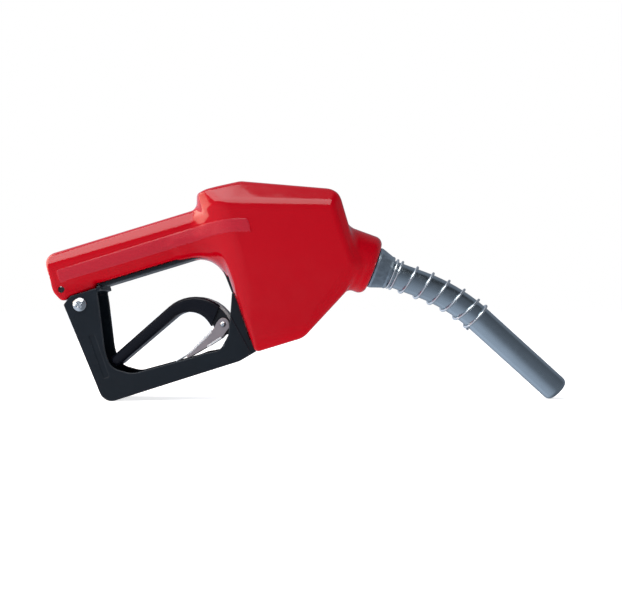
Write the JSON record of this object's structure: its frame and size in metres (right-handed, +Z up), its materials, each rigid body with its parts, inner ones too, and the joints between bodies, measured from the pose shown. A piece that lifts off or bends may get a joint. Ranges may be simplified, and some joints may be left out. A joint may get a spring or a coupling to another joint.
{
  "type": "fuel nozzle",
  "caption": "Automatic shut-off fuel dispensing nozzle with a vinyl-covered body, hand guard, two-stage lever, hold-open latch and bent spout with an outer spring.",
  "frame": {"origin": "under the middle of the nozzle's box, on the surface that the guard's rear corner and the spout tip stand on", "axes": "+X towards the spout, +Y across the nozzle to its far side, +Z up; the handle climbs 17 degrees from -X to +X"},
  "size_m": [0.3998, 0.062, 0.167],
  "materials": {
    "cast_aluminium": "as cast",
    "red_vinyl": "glossy, with a grained band on the handle",
    "guard_black": "satin",
    "zinc_steel": "bright zinc",
    "brass": "machined",
    "seal_rubber": "matt",
    "stainless": "turned",
    "spring_steel": "drawn wire",
    "collar_metal": "mottled, anodised",
    "spout_aluminium": "satin",
    "bright_wire": "bright",
    "lever_steel": "satin black",
    "sleeve_rubber": "satin",
    "latch_steel": "plated"
  },
  "bodies": {
    "root": {"body_casting": "cast_aluminium", "cover": "red_vinyl", "hand_guard": "guard_black", "guard_screw": "zinc_steel", "guard_nut": "zinc_steel", "guard_pin": "zinc_steel", "poppet_cap": "brass", "poppet_cap_seal": "seal_rubber", "poppet_spring": "spring_steel", "stem_gland": "brass", "stem_seal": "seal_rubber", "plunger_spring": "spring_steel", "diaphragm": "seal_rubber", "diaphragm_spring": "spring_steel", "vacuum_cap": "cast_aluminium", "vacuum_cap_screws": "zinc_steel", "check_seat": "brass", "check_spring": "spring_steel", "spout_bushing": "collar_metal", "bushing_seal": "seal_rubber", "bushing_lock_screw": "zinc_steel", "spout_tube": "spout_aluminium", "spout_spring": "bright_wire", "vent_tube": "spout_aluminium", "vent_tip": "brass"},
    "trip_plunger": {"trip_plunger": "stainless", "latch_balls": "stainless", "lever_pin": "stainless"},
    "lever": {"lever": "lever_steel", "lever_sleeve": "sleeve_rubber", "latch_rivet": "zinc_steel", "latch_spring": "spring_steel"},
    "hold_open_latch": {"hold_open_latch": "latch_steel"},
    "main_valve": {"valve_stem": "stainless", "main_poppet": "stainless", "poppet_disc": "seal_rubber"},
    "diaphragm_stack": {"latch_pin": "stainless", "diaphragm_plate": "cast_aluminium"},
    "check_poppet": {"check_poppet": "brass"}
  },
  "joints": [
    {"name": "plunger_drop", "type": "slide", "parent": "root", "child": "trip_plunger", "axis": [-0.0941, 0, -0.9956], "range_m": [0, 0.006], "stiffness_N_per_m": 1500, "springref_m": -0.003, "deforming": ["plunger_spring"]},
    {"name": "lever_lift", "type": "hinge", "parent": "trip_plunger", "child": "lever", "pos_m": [-0.01928, 0, 0.06071], "axis": [0, 1, 0], "range_deg": [0, 18], "stiffness_Nm_per_rad": 1.5, "springref_deg": -8.59},
    {"name": "valve_lift", "type": "slide", "parent": "root", "child": "main_valve", "axis": [-0.2924, 0, 0.9563], "range_m": [0, 0.0052], "deforming": ["poppet_spring"]},
    {"name": "latch_swing", "type": "hinge", "parent": "lever", "child": "hold_open_latch", "pos_m": [-0.06505, 0, 0.05822], "axis": [0, -1, 0], "range_deg": [0, 10], "stiffness_Nm_per_rad": 0.04, "springref_deg": -17.19, "deforming": ["latch_spring"]},
    {"name": "diaphragm_lift", "type": "slide", "parent": "root", "child": "diaphragm_stack", "axis": [0.0941, 0, 0.9956], "range_m": [0, 0.003], "stiffness_N_per_m": 400, "springref_m": -0.003, "deforming": ["diaphragm_spring", "diaphragm"]},
    {"name": "check_open", "type": "slide", "parent": "root", "child": "check_poppet", "axis": [0.9397, 0, -0.342], "range_m": [0, 0.004], "stiffness_N_per_m": 300, "springref_m": -0.003, "deforming": ["check_spring"]}
  ],
  "couplings": [
    {"joint": "valve_lift", "follows": "lever_lift", "m_per_rad": 0.0165}
  ]
}
